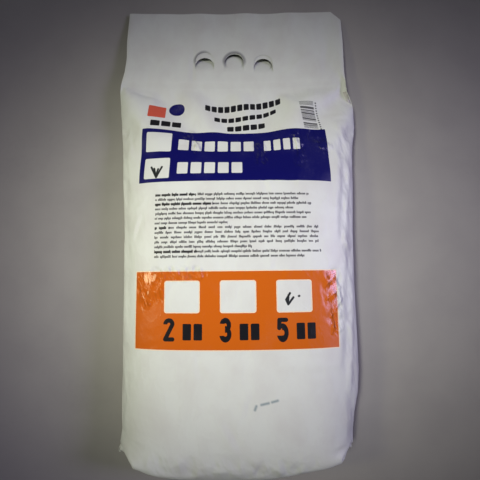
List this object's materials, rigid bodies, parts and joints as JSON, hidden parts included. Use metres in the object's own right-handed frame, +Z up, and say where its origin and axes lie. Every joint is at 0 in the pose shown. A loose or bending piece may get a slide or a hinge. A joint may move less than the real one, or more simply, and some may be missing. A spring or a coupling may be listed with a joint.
{
  "type": "cement bag",
  "caption": "Pillow bag of white polyethylene film filled with cement powder, lying on its back, with a flat flap above its top seal and punched finger holes.",
  "frame": {"origin": "centre of the footprint, on the floor that the bag lies on", "axes": "+Y from the bottom seal to the cut top edge of the flap, +X to the right of someone who reads the printed front, +Z up through the printed front"},
  "size_m": [0.2426, 0.4802, 0.0587],
  "materials": {
    "white_film": "white printed polyethylene film, satin",
    "cement_powder": "fine pale powder, matt"
  },
  "bodies": {
    "root": {"bag_film": "white_film", "cement_fill": "cement_powder"}
  },
  "joints": []
}
